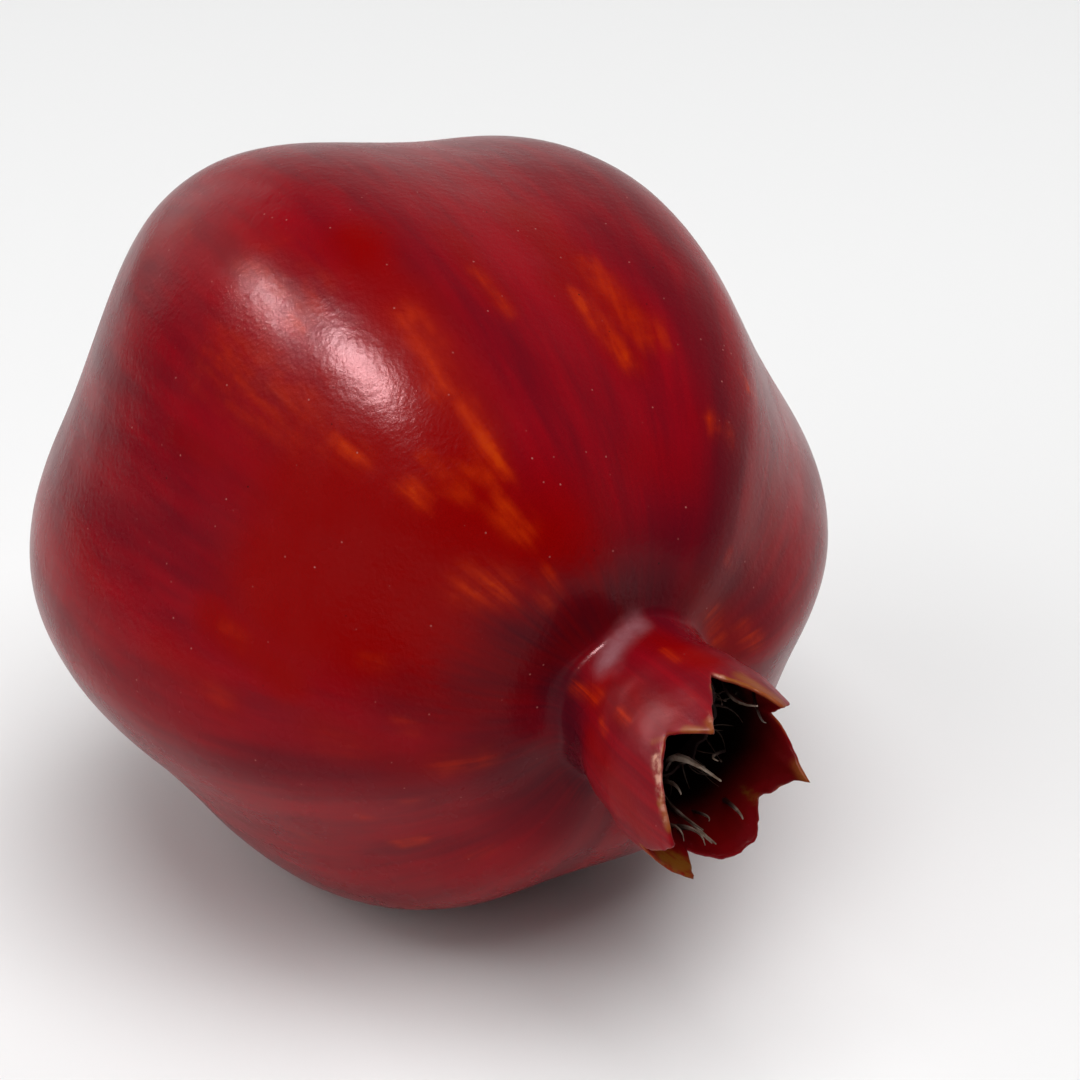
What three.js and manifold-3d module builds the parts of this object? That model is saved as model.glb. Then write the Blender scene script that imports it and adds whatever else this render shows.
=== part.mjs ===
// A ripe pomegranate lying on its side, in millimetres, with +Z up.
// The origin is the middle of the small flat spot that the fruit lies on, and the crown points towards -Y.
// Three pieces: the fruit, whose rind and crown grew as one, the dried stamens inside the crown,
// and the woody stub of the stalk at the other end.
import * as THREE from "three";
import { mergeVertices } from "three/addons/utils/BufferGeometryUtils.js";
import Module from "manifold-3d";

const wasm = await Module();
wasm.setup();

// The fruit's own frame: its axis is +Z from the stalk to the crown, 0 is the middle of the body, and
// azimuths are degrees round that axis.

// Body: a round a little fuller than an ellipsoid, with six soft ridges running from end to end.
const BODY_RADIUS = 40.4;
const CROWN_END = 47.0;
const STALK_END = 43.0;
const FULLNESS = 2.04;
const RIDGE_FADE = 1.2;
const RIDGES = [
  { azimuth: -38.5, rise: 4.1, width: 15.5 },
  { azimuth: 15, rise: 4.2, width: 15.5 },
  { azimuth: 75, rise: 5.9, width: 23.5 },
  { azimuth: 145, rise: 4.8, width: 19 },
  { azimuth: 200, rise: 3.8, width: 18 },
  { azimuth: 260, rise: 4.2, width: 23.5 },
];

// Crown: a short tube that opens out from a shallow moat and is split at its edge into six sepals. A sepal
// runs from its own notch to the next one's. Bows say how full its two edges are: 1 is straight, less is
// hollow, more is rounded. Lean is how far its tip stands out from the tube, starting a little below its
// notch. One tip is broken off, the notches are pinched in a little, and the walls thin out to the tips.
const MOAT_RADIUS = 9.6;
const MOAT_WIDTH = 4.5;
const MOAT_DEPTH = 2.2;
const TUBE = [
  { height: 44.0, radius: 9.0 },
  { height: 47.0, radius: 8.8 },
  { height: 52.0, radius: 9.9 },
  { height: 57.0, radius: 10.6 },
  { height: 61.0, radius: 10.4 },
  { height: 67.0, radius: 9.7 },
];
const SHOULDER = { azimuth: 55, rise: 0.8, width: 65, height: 46, spread: 3 };
const SEPALS = [
  { notch: 46, notchHeight: 57.3, tip: 72, tipHeight: 64.6, lean: 0.1, bows: [1, 1] },
  { notch: 91, notchHeight: 60.6, tip: 143, tipHeight: 66.8, lean: 0, bows: [1.15, 1.3] },
  { notch: 171, notchHeight: 60.0, tip: 206, tipHeight: 62.6, lean: 0.1, bows: [1.2, 0.9] },
  { notch: 221, notchHeight: 57.4, tip: 247, tipHeight: 62.4, lean: 0.5, bows: [1, 1], brokenAt: 60.3 },
  { notch: 275, notchHeight: 56.9, tip: 300, tipHeight: 61.6, lean: 0.7, bows: [0.5, 0.7] },
  { notch: 326, notchHeight: 54.8, tip: 379, tipHeight: 63.6, lean: -0.2, bows: [1.2, 0.85] },
];
const LEAN_START = 4;
const NOTCH_PINCH = 0.3;
const EDGE_THICKNESS = 1.2;
const TIP_THICKNESS = 0.75;
const TUBE_THICKNESS = 2.0;
const CUP_FLOOR = 44.5;
const CUP_FLOOR_SAG = 1.0;

// Stalk end: a shallow dimple round the socket of the woody stub.
const DIMPLE_RADIUS = 10;
const DIMPLE_DEPTH = 2.4;
const SOCKET_RADIUS = 3.3;
const SOCKET_DEPTH = 2.5;
const GAP = 0.3;
const STUB_LENGTH = 8.0;
const STUB_WAIST = 2.3;
const STUB_TOP = 2.7;
const STUB_BEVEL = 0.4;

// Stamens: a thin ring of dried tissue on the tube's inner wall, with wiry filaments and their small anthers.
// A filament passes its stops, each given as shares of its length, lean and swing.
const RING_HEIGHT = 49.5;
const RING_DEPTH = 2.6;
const RING_THICKNESS = 0.9;
const RING_SIDES = 36;
const STAMENS = 40;
const STAMEN_SPREAD = 0.5;
const STAMEN_LENGTH = [6, 8.8];
const STAMEN_LEAN = [0.2, 1.1];
const STAMEN_SWING = 10;
const FILAMENT_STOPS = [
  { length: 0, lean: 0, swing: 0 },
  { length: 0.45, lean: 0.5, swing: 0.3 },
  { length: 1, lean: 1, swing: 1 },
];
const STAMEN_RADIUS = 0.34;
const ANTHER_RADIUS = 0.45;
const ANTHER_STRETCH = 1.6;
const STAMEN_SEED = 11;

// How it lies: the azimuth that is underneath, how far the crown droops, and how deep the flat spot is pressed.
const DOWN_AZIMUTH = 228;
const DROOP = 4;
const FLAT_DEPTH = 0.6;

// Mesh fineness.
const DEGREES_PER_COLUMN = 4.3;
const FEWEST_COLUMNS_PER_EDGE = 4;
const BODY_RINGS = 30;
const OUTER_RINGS = 10;
const INNER_RINGS = 8;
const FILAMENT_STEPS = 3;
const STUB_SIDES = 20;
const STUB_RINGS = 8;
const MERGE_DISTANCE = 1e-4;

const rad = THREE.MathUtils.degToRad;
const lerp = THREE.MathUtils.lerp;
const smooth = THREE.MathUtils.smoothstep;

// A seeded random draw from 0 to 1.
function drawFrom(seed) {
  let state = seed;
  return () => {
    state = (state * 16807) % 2147483647;
    return (state - 1) / 2147483646;
  };
}

function polar(azimuth, radius, height) {
  return new THREE.Vector3(radius * Math.cos(azimuth), radius * Math.sin(azimuth), height);
}

// A smooth rise of 1 at an azimuth that fades away on both sides of it.
function swell(azimuth, { azimuth: centre, width }) {
  const away = THREE.MathUtils.radToDeg(azimuth) - centre;
  return Math.exp(-(((THREE.MathUtils.euclideanModulo(away + 180, 360) - 180) / width) ** 2));
}

// Body

// The rind's point at an angle from the crown's pole, before the moat and the dimple are pressed in.
function roundPoint(fromPole, azimuth) {
  const across = Math.abs(Math.sin(fromPole));
  const along = Math.cos(fromPole);
  const end = along > 0 ? CROWN_END : STALK_END;
  const round = (across / BODY_RADIUS) ** FULLNESS + (Math.abs(along) / end) ** FULLNESS;
  const ridges = RIDGES.reduce((sum, ridge) => sum + ridge.rise * swell(azimuth, ridge), 0);
  const reach = round ** (-1 / FULLNESS) + ridges * across ** RIDGE_FADE;
  return polar(azimuth, reach * across, reach * along);
}

function bodyPoint(fromPole, azimuth) {
  const point = roundPoint(fromPole, azimuth);
  const out = Math.hypot(point.x, point.y);
  if (point.z > 0) point.z -= MOAT_DEPTH * Math.exp(-(((out - MOAT_RADIUS) / MOAT_WIDTH) ** 2));
  else point.z += DIMPLE_DEPTH * Math.exp(-((out / DIMPLE_RADIUS) ** 2));
  return point;
}

// Crown

// One edge of a sepal, between a notch and the tip, as mesh columns with their azimuth and edge height.
// Share runs from 0 at the notch to 1 at the tip.
function edgeColumns(sepal, notch, notchHeight, bow) {
  const angle = Math.abs(sepal.tip - notch);
  const count = Math.max(FEWEST_COLUMNS_PER_EDGE, Math.round(angle / DEGREES_PER_COLUMN));
  return Array.from({ length: count + 1 }, (_, i) => {
    const share = i / count;
    const height = lerp(notchHeight, sepal.tipHeight, 1 - (1 - share) ** bow);
    const edge = Math.min(height, sepal.brokenAt ?? Infinity);
    return { azimuth: rad(lerp(notch, sepal.tip, share)), edge, share, sepal };
  });
}

// All mesh columns round the fruit. Every notch and every tip falls exactly on one.
function makeColumns() {
  return SEPALS.flatMap((sepal, i) => {
    const next = SEPALS[(i + 1) % SEPALS.length];
    const nextNotch = next.notch + (next.notch < sepal.notch ? 360 : 0);
    const rising = edgeColumns(sepal, sepal.notch, sepal.notchHeight, sepal.bows[0]);
    const falling = edgeColumns(sepal, nextNotch, next.notchHeight, sepal.bows[1]);
    return [...rising, ...falling.reverse().slice(1, -1)];
  });
}

function tubeRadius(height) {
  const upper = TUBE.findIndex((stop) => stop.height >= height);
  if (upper === -1) return TUBE.at(-1).radius;
  if (upper === 0) return TUBE[0].radius;
  const [low, high] = [TUBE[upper - 1], TUBE[upper]];
  return lerp(low.radius, high.radius, smooth(height, low.height, high.height));
}

function outsideRadius({ azimuth, sepal, share }, height) {
  const opening = smooth(height, sepal.notchHeight - LEAN_START, sepal.tipHeight);
  const pinch = NOTCH_PINCH * (1 - share) ** 2 * smooth(height, TUBE[1].height, sepal.notchHeight);
  const above = (height - SHOULDER.height) / SHOULDER.spread;
  const shoulder = SHOULDER.rise * swell(azimuth, SHOULDER) * Math.exp(-(above ** 2));
  return tubeRadius(height) + sepal.lean * opening - pinch + shoulder;
}

function insideRadius(column, height) {
  const edgeThickness = lerp(EDGE_THICKNESS, TIP_THICKNESS, column.share ** 3);
  const wall = lerp(TUBE_THICKNESS, edgeThickness, smooth(height, CUP_FLOOR, column.edge));
  return outsideRadius(column, height) - wall;
}

// Whole fruit

// Rings from the stalk's socket over the body, up the outside of the crown and down inside it.
function fruitRings(columns) {
  const rings = [];
  const addRing = (pointOf) => rings.push(columns.map(pointOf));
  const socketEdge = Math.PI - Math.atan(SOCKET_RADIUS / STALK_END);
  const neck = Math.atan(MOAT_RADIUS / CROWN_END);
  addRing(({ azimuth }) => polar(azimuth, SOCKET_RADIUS, socketFloor()));
  for (let i = 0; i < BODY_RINGS; i++) {
    const fromPole = lerp(socketEdge, neck, i / (BODY_RINGS - 1));
    addRing(({ azimuth }) => bodyPoint(fromPole, azimuth));
  }
  for (let i = 1; i <= OUTER_RINGS; i++) {
    addRing((column) => {
      const height = lerp(TUBE[0].height, column.edge, i / OUTER_RINGS);
      return polar(column.azimuth, outsideRadius(column, height), height);
    });
  }
  for (let i = 0; i <= INNER_RINGS; i++) {
    addRing((column) => {
      const height = lerp(column.edge, CUP_FLOOR, i / INNER_RINGS);
      return polar(column.azimuth, insideRadius(column, height), height);
    });
  }
  addRing((column) => polar(column.azimuth, insideRadius(column, CUP_FLOOR) / 2, CUP_FLOOR - CUP_FLOOR_SAG));
  return rings;
}

function socketFloor() {
  return -STALK_END + DIMPLE_DEPTH + SOCKET_DEPTH;
}

// The closed surface through a run of rings of equal length, capped by a point at each end.
function closedSurface(firstPoint, rings, lastPoint) {
  const count = rings[0].length;
  const points = [firstPoint, ...rings.flat(), lastPoint];
  const last = points.length - 1;
  const at = (ring, column) => 1 + ring * count + (column % count);
  const faces = [];
  for (let j = 0; j < count; j++) {
    faces.push(0, at(0, j + 1), at(0, j));
    for (let i = 0; i + 1 < rings.length; i++) {
      faces.push(at(i, j), at(i, j + 1), at(i + 1, j + 1));
      faces.push(at(i, j), at(i + 1, j + 1), at(i + 1, j));
    }
    faces.push(last, at(rings.length - 1, j), at(rings.length - 1, j + 1));
  }
  const geometry = new THREE.BufferGeometry().setFromPoints(points);
  geometry.setIndex(faces);
  geometry.computeVertexNormals();
  return geometry;
}

// The fruit pressed flat underneath, and the matrix that lays it down with the flat spot's middle at the origin.
function makeFruit() {
  const rings = fruitRings(makeColumns());
  const down = polar(rad(DOWN_AZIMUTH), Math.cos(rad(DROOP)), Math.sin(rad(DROOP)));
  const lowest = Math.max(...rings.flat().map((point) => point.dot(down)));
  const ground = new THREE.Plane(down, FLAT_DEPTH - lowest);
  const pressed = rings.flat().filter((point) => ground.distanceToPoint(point) > 0);
  for (const point of pressed) point.addScaledVector(down, -ground.distanceToPoint(point));

  const side = polar(rad(DOWN_AZIMUTH + 90), 1, 0);
  const stalkward = new THREE.Vector3().crossVectors(side, down);
  const up = down.clone().negate();
  const layDown = new THREE.Matrix4().makeBasis(side, stalkward, up).transpose();
  const spot = new THREE.Box3().setFromPoints(pressed.map((point) => point.clone().applyMatrix4(layDown)));
  layDown.setPosition(spot.getCenter(new THREE.Vector3()).negate());

  const stalkPole = new THREE.Vector3(0, 0, socketFloor());
  const cupPole = new THREE.Vector3(0, 0, CUP_FLOOR - CUP_FLOOR_SAG);
  return { geometry: closedSurface(stalkPole, rings, cupPole), layDown };
}

// Stamens

function asSolid(geometry) {
  const bare = geometry.clone();
  bare.deleteAttribute("normal");
  bare.deleteAttribute("uv");
  const merged = mergeVertices(bare, MERGE_DISTANCE);
  const mesh = new wasm.Mesh({
    numProp: 3,
    vertProperties: merged.attributes.position.array,
    triVerts: new Uint32Array(merged.index.array),
  });
  return new wasm.Manifold(mesh);
}

function asGeometry(solid) {
  const mesh = solid.getMesh();
  const geometry = new THREE.BufferGeometry();
  geometry.setAttribute("position", new THREE.BufferAttribute(mesh.vertProperties, 3));
  geometry.setIndex(new THREE.BufferAttribute(mesh.triVerts, 1));
  geometry.computeVertexNormals();
  return geometry;
}

function makeStamenRing() {
  const low = RING_HEIGHT - RING_DEPTH / 2;
  const high = RING_HEIGHT + RING_DEPTH / 2;
  const outer = Math.min(...makeColumns().map((column) => insideRadius(column, low))) - GAP;
  const inner = outer - RING_THICKNESS;
  const section = [
    new THREE.Vector2(inner, low),
    new THREE.Vector2(outer, low),
    new THREE.Vector2(outer, high),
    new THREE.Vector2(inner, high),
    new THREE.Vector2(inner, low),
  ];
  const geometry = new THREE.LatheGeometry(section, RING_SIDES);
  geometry.rotateX(Math.PI / 2);
  return { geometry, middle: (outer + inner) / 2 };
}

// A wiry three-sided filament along its route, with the anther on its end.
function makeStamen(route) {
  const corners = [0, 120, 240].map((turn) => {
    return new THREE.Vector2(STAMEN_RADIUS, 0).rotateAround(new THREE.Vector2(), rad(turn));
  });
  const filament = new THREE.ExtrudeGeometry(new THREE.Shape(corners), {
    extrudePath: route,
    steps: FILAMENT_STEPS,
    bevelEnabled: false,
  });
  const anther = new THREE.OctahedronGeometry(ANTHER_RADIUS);
  anther.scale(1, 1, ANTHER_STRETCH);
  anther.translate(...route.getPoint(1).toArray());
  return asSolid(filament).add(asSolid(anther));
}

function makeStamens() {
  const draw = drawFrom(STAMEN_SEED);
  const ring = makeStamenRing();
  let solid = asSolid(ring.geometry);
  for (let i = 0; i < STAMENS; i++) {
    const azimuth = rad(((i + STAMEN_SPREAD * draw()) / STAMENS) * 360);
    const length = lerp(...STAMEN_LENGTH, draw());
    const lean = lerp(...STAMEN_LEAN, draw());
    const swing = rad(lerp(-STAMEN_SWING, STAMEN_SWING, draw()));
    const pointAt = (stop) => {
      const reach = ring.middle - lean * stop.lean;
      return polar(azimuth + swing * stop.swing, reach, RING_HEIGHT + length * stop.length);
    };
    const route = new THREE.CatmullRomCurve3(FILAMENT_STOPS.map(pointAt));
    solid = solid.add(makeStamen(route));
  }
  return asGeometry(solid);
}

// Stalk

function makeStub() {
  const foot = socketFloor() - GAP;
  const end = foot - STUB_LENGTH;
  const side = new THREE.SplineCurve([
    new THREE.Vector2(SOCKET_RADIUS - GAP, foot),
    new THREE.Vector2(SOCKET_RADIUS - GAP, foot - SOCKET_DEPTH),
    new THREE.Vector2(STUB_WAIST, (foot + end) / 2),
    new THREE.Vector2(STUB_TOP, end + STUB_BEVEL),
    new THREE.Vector2(STUB_TOP - STUB_BEVEL, end),
  ]);
  const points = side.getPoints(STUB_RINGS).reverse();
  const section = [new THREE.Vector2(0, end), ...points, new THREE.Vector2(0, foot)];
  const stub = new THREE.LatheGeometry(section, STUB_SIDES);
  stub.rotateX(Math.PI / 2);
  return stub;
}

// Materials and assembly

function skin(color, roughness) {
  return new THREE.MeshStandardMaterial({ color, roughness, metalness: 0 });
}

function named(name, geometry, material) {
  const mesh = new THREE.Mesh(geometry, material);
  mesh.name = name;
  return mesh;
}

const fruit = makeFruit();
const pomegranate = new THREE.Group();
pomegranate.add(
  named("fruit", fruit.geometry, skin(0x8c1018, 0.35)),
  named("stamens", makeStamens(), skin(0x7a6148, 0.85)),
  named("stalk_stub", makeStub(), skin(0x5c4430, 0.8)),
);
pomegranate.applyMatrix4(fruit.layDown);

export default pomegranate;
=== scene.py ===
"""A ripe pomegranate on a pale floor: ribbed red rind, open crown, dried stamens and a stub of its stalk."""
import math
import random

import bpy
import numpy as np
from mathutils import Matrix, Vector, kdtree, noise


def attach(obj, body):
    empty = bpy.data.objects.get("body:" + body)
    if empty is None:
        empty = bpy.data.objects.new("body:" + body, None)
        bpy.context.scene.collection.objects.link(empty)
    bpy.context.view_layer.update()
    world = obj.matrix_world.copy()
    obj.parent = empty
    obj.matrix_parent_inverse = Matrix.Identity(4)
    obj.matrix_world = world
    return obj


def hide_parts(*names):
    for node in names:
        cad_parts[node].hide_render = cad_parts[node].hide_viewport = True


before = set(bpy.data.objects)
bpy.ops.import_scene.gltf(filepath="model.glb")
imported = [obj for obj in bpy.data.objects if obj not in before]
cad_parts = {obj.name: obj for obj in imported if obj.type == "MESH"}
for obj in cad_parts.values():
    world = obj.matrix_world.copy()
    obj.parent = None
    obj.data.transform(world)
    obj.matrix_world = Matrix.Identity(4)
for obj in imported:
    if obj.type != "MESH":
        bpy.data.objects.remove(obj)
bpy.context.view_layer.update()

# How the fruit lies: the azimuth that is underneath, the droop of its crown, and the distance in metres from
# its middle to the cut end of the stalk. Azimuths are degrees round the fruit's axis, heights are along it.
DOWN_AZIMUTH = 228
DROOP = 4
STALK_REACH = 0.0464

# Camera: its view of the fruit's middle, in degrees, metres and millimetres of lens.
PICTURE_SIZE = 1080
SENSOR = 36.0
LENS = 95.2
VIEW_AZIMUTH = -30.3
VIEW_ELEVATION = 26.6
VIEW_ROLL = -0.5
VIEW_DISTANCE = 0.3263
VIEW_OFFSET = (0.01295, -0.00337)

# Skin colours.
# Darker purple of the rind, also used as painted shade.
DARK_PURPLE_AND_SHADE = (0.040, 0.0030, 0.0080)
MAROON = (0.128, 0.0020, 0.0070)
CRIMSON = (0.250, 0.0014, 0.0060)
SCARLET = (0.215, 0.0001, 0.0001)
ORANGE = (0.400, 0.0180, 0.0008)
AMBER = (0.480, 0.0480, 0.0015)
RIM_TAN = (0.230, 0.0600, 0.0100)
# Painted highlight: pale pink glints along the sepals' edges.
RIM_GLINT_CREAM = (0.520, 0.2500, 0.1800)
# Painted sheen: a pale pinkish reflection painted on the crown's tube.
PAINTED_SHEEN = (0.240, 0.0900, 0.1050)
SEPAL_OLIVE = (0.150, 0.0460, 0.0050)
CUP_MAROON = (0.120, 0.0010, 0.0016)
# Painted shade that fills the depths of the cup.
CUP_SHADE_BLACK = (0.003, 0.0012, 0.0010)
SCAR_BROWN = (0.110, 0.0420, 0.0160)
SPECK_PALE = (0.380, 0.1100, 0.1000)
SPECK_DARK = (0.020, 0.0020, 0.0030)

# Brush-like marks on the skin, among them painted shade, painted highlights, a painted sheen and a painted
# glow: start and end in the picture, width in millimetres, and strength.
ORANGE_MARKS = [
    ((576, 295), (629, 364), 1.1, 0.8), ((590, 265), (646, 340), 1.5, 0.65),
    ((656, 318), (668, 348), 0.7, 0.6), ((474, 270), (509, 312), 0.8, 0.6),
    ((408, 316), (428, 346), 1.5, 0.8), ((430, 352), (440, 390), 1.3, 0.8),
    ((462, 405), (495, 455), 1.2, 0.7), ((488, 440), (497, 470), 1.5, 0.9),
    ((425, 456), (436, 468), 0.8, 0.7), ((452, 468), (478, 476), 0.8, 0.6),
    ((409, 490), (420, 500), 1.2, 0.85), ((452, 486), (466, 496), 0.9, 0.75),
    ((500, 508), (524, 532), 1.3, 0.8), ((468, 585), (502, 590), 1.9, 0.75),
    ((548, 575), (546, 602), 1.2, 0.6), ((287, 390), (305, 402), 1.7, 0.5),
    ((335, 440), (358, 458), 1.4, 0.75), ((292, 315), (302, 325), 1.0, 0.9),
    # The two broad faint marks on the next line are painted light: a glow round the two gloss highlights.
    ((225, 362), (285, 400), 4.2, 0.55), ((262, 258), (306, 296), 3.4, 0.5),
    ((230, 280), (238, 290), 1.0, 0.5), ((182, 225), (192, 234), 1.3, 0.45),
    ((742, 372), (748, 388), 0.6, 0.8), ((710, 418), (714, 430), 0.8, 0.65),
    ((729, 428), (731, 440), 0.6, 0.65), ((753, 392), (756, 402), 0.5, 0.6),
    ((226, 628), (240, 642), 1.0, 0.45), ((366, 660), (386, 666), 0.9, 0.55),
    ((210, 688), (224, 698), 1.1, 0.45), ((398, 724), (414, 730), 0.8, 0.5),
    ((440, 768), (486, 760), 1.3, 0.5), ((398, 843), (420, 838), 0.9, 0.75),
    ((356, 814), (368, 818), 0.7, 0.5), ((294, 832), (316, 840), 0.9, 0.4),
    ((470, 856), (492, 850), 1.0, 0.4), ((712, 614), (718, 640), 1.0, 0.8),
    ((744, 630), (756, 644), 1.2, 0.7), ((728, 556), (732, 570), 0.7, 0.5),
    ((322, 742), (356, 752), 1.6, 0.3), ((402, 802), (418, 800), 0.7, 0.35),
    ((575, 688), (598, 698), 0.8, 0.8), ((618, 712), (627, 722), 0.6, 0.8),
    ((601, 720), (605, 732), 0.45, 0.9), ((664, 650), (676, 660), 0.6, 0.6),
    ((690, 700), (712, 708), 0.7, 0.4), ((610, 800), (618, 815), 0.6, 0.35),
]
SCARLET_MARKS = [
    ((330, 490), (520, 590), 9.0, 1.0), ((300, 580), (460, 650), 7.5, 1.0),
    ((330, 450), (490, 530), 6.0, 0.9), ((360, 240), (430, 400), 3.6, 0.7),
    ((400, 300), (470, 420), 4.0, 0.7), ((430, 380), (520, 600), 4.5, 0.9),
    ((212, 615), (290, 680), 2.6, 0.7), ((300, 655), (470, 690), 3.5, 0.6),
    ((520, 215), (640, 330), 3.0, 0.65), ((449, 234), (500, 300), 2.2, 0.5),
    ((560, 280), (630, 360), 2.6, 0.6), ((230, 240), (260, 400), 4.5, 0.35),
    ((163, 650), (224, 700), 2.8, 0.5), ((320, 725), (400, 760), 3.2, 0.45),
    ((400, 770), (490, 745), 2.8, 0.5), ((173, 436), (262, 482), 2.0, 0.45),
    ((180, 225), (150, 245), 2.4, 0.5), ((70, 515), (96, 585), 2.2, 0.35),
    ((640, 460), (690, 475), 4.0, 0.35), ((700, 420), (735, 440), 2.2, 0.4),
    ((775, 480), (772, 560), 2.2, 0.45), ((750, 500), (750, 570), 2.0, 0.4),
    ((620, 620), (700, 660), 2.4, 0.7), ((600, 690), (660, 720), 2.4, 0.7),
    ((590, 740), (640, 830), 2.0, 0.6), ((700, 590), (730, 650), 2.8, 0.5),
]
# Dark purple marks: the rind's own darker streaks, and painted shade round the crown's foot and on its tube.
DARK_AND_SHADE_MARKS = [
    ((163, 372), (275, 446), 1.8, 0.25), ((318, 227), (370, 294), 2.0, 0.2),
    ((597, 222), (700, 320), 2.4, 0.4), ((688, 300), (740, 470), 3.0, 0.42),
    ((735, 440), (715, 520), 4.0, 0.5), ((640, 560), (720, 520), 4.5, 0.5),
    ((520, 640), (640, 590), 5.0, 0.7), ((470, 690), (560, 660), 4.5, 0.6),
    ((500, 740), (560, 800), 6.0, 0.65), ((400, 700), (500, 720), 3.5, 0.5),
    ((280, 760), (430, 790), 4.5, 0.35), ((130, 500), (200, 560), 5.0, 0.25),
    ((560, 690), (585, 780), 3.0, 0.9), ((565, 640), (595, 665), 2.0, 0.5),
    ((560, 330), (620, 420), 3.6, 0.2), ((110, 400), (90, 480), 3.4, 0.25),
    ((700, 560), (760, 600), 3.4, 0.45), ((612, 690), (628, 716), 1.8, 0.5),
    ((648, 694), (660, 732), 1.8, 0.45),
]
OLIVE_MARKS = [
    ((668, 858), (686, 866), 1.6, 1.5), ((745, 790), (756, 800), 0.5, 0.9),
]
TAN_MARKS = [
    ((742, 677), (778, 700), 0.8, 0.9), ((709, 722), (712, 731), 0.5, 0.9),
    ((684, 729), (702, 729), 0.35, 0.8), ((652, 742), (664, 739), 0.3, 0.6),
    ((664, 812), (668, 828), 0.4, 0.8), ((797, 766), (806, 782), 0.7, 0.8),
    ((746, 835), (748, 846), 0.5, 0.6),
]
# Painted highlights: pale glints along the sepals' edges and notches.
CREAM_GLINT_MARKS = [
    ((656, 757), (657, 768), 0.35, 0.95), ((657, 766), (663, 800), 0.35, 0.8),
    ((663, 798), (665, 822), 0.35, 0.6), ((711, 715), (713, 728), 0.3, 0.4),
    ((724, 851), (744, 851), 0.22, 0.5), ((714, 676), (722, 677), 0.25, 0.6),
]
# Painted sheen: pale reflections painted on the crown's tube.
SHEEN_MARKS = [
    ((636, 624), (606, 664), 1.3, 0.8), ((606, 652), (616, 668), 1.2, 0.4),
    ((682, 692), (696, 712), 1.6, 0.3),
]

# Marks on the side that the picture doesn't show: how many, and the ranges of their length and width in mm.
# They lie between two angles from the crown's end of the axis, in radians.
HIDDEN_MARK_SEED = 5
HIDDEN_ORANGE = {"count": 80, "length": (2, 8), "width": (0.7, 1.6), "strength": (0.35, 0.9)}
HIDDEN_SCARLET = {"count": 34, "length": (8, 26), "width": (2.2, 7.0), "strength": (0.4, 1.0)}
HIDDEN_DARK_STREAKS = {"count": 22, "length": (8, 24), "width": (2.2, 5.0), "strength": (0.2, 0.6)}
HIDDEN_ANGLES = (0.35, 2.7)
BODY_RADIUS = 0.043
WELL_OUTSIDE = 0.1

# How marks are laid: the length of their steps, how softly they fade, and the shortest run of a stroke.
STEP_PIXELS = 40
BRUSH_SOFTNESS = 1.35
SHORTEST_RUN = 1e-12

# Fineness of the rind's mesh, and how sharp its sepals stay.
SUBDIVISIONS = 2
EDGE_CREASE = 0.35
TIP_CREASE = 0.6
NOTCH_CREASE = 0.9
MERGE_DISTANCE = 0.00001

# Crown: where it and its cup begin, and how its wall is found on the mesh and thinned towards the edges.
# Heights, radii and depths are in metres. A surface faces inwards where its outward share is low.
CROWN_START = 0.0436
CROWN_RADIUS = 0.0135
CUP_BOTTOM = 0.0400
COLUMNS_PER_DEGREE = 4
WALL_LEAST_RADIUS = 0.005
OUTWARD_SHARE = 0.2
EDGE_DEPTH = 0.00003
LEVEL_RISE = 0.00004
FULL_RIM = 0.98
CROWN_MARGIN = 0.002
RIM_THICKNESS = 0.00040
THINNED_DEPTH = 0.0028

# Unevenness, each layer with its lumps' size and height in metres and a shift that sets it apart.
BODY_LUMPS = [(0.016, 0.00020, 0), (0.006, 0.00005, 7)]
CROWN_WAVES = [(0.0045, 0.00018, 3), (0.0016, 0.00005, 5)]
EDGE_TEARS = [(0.0011, 0.00026, 11), (0.0005, 0.00012, 13)]
TEAR_REACH = 0.0007
WAVES_BEGIN = (0.0440, 0.0490)
FLAT_SPOT_FADE = 0.006

# Where the painted shade in the cup begins and how deep it grows, where the crown's duller skin begins, and
# how wide the scar round the stalk is.
CUP_SHADE_TOP = 0.0580
CUP_SHADE_DEPTH = 0.0065
DULL_SKIN = (0.0490, 0.0530)
SCAR_RADIUS = 0.0075
SCAR_FADE = 0.004

# Dried stamens in the cup. Heights and radii are in the fruit's own coordinates, in metres, and turns are in
# degrees. Each strand that the picture shows clearly has the pixels of its lower end and tip, the heights of
# both, its half thickness and its paleness. Low paleness and each filament's foot are painted shade, darker
# deep in the cup.
STAMEN_SEED = 3
STAMENS = 50
STAMEN_TIPS = (0.0505, 0.0550, 0.0520)
STAMEN_LEANS = (0.0002, 0.0032, 0.0006)
STAMEN_PALENESS = 0.22
ANTHER_SHARE = 0.35
ANTHER_SHAPE = (0.62, 0.62, 1.3)
ANTHER_SIZE = 2.0
RING = {"height": 0.0492, "depth": 0.0016, "radius": 0.0063, "thickness": 0.0004}
RING_SIDES = 96
RING_CUTS = 2
RING_TEARS = [(0.0016, 0.0007, 0)]
RING_WOBBLE = [(0.0022, 0.03, 5)]
FILAMENT_SIDES = 4
FILAMENT_CUTS = 5
LONG_EDGE = 0.5
FILAMENT_HALF_THICKNESS = (0.00007, 0.00013)
FILAMENT_FOOT_WIDTH = 1.15
FILAMENT_TAPER = 0.85
FILAMENT_BOW = 0.0006
FILAMENT_CURL = 7
FILAMENT_TURN = 11
FILAMENT_ROOT_SPREAD = 0.4
ROUTE_POINTS = 8
SMOOTH_ANGLE = 50
PALE_FADE = 0.2
STRAND_FOOT_SHARE = 0.4
STRAND_ROOT_DEPTH = 0.0025
EMBEDDED = 0.0002
STYLE = ((672, 757), (721, 781), (0.0510, 0.0555), 0.00035, 1.0)
STYLE_SWELL = 0.6
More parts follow.
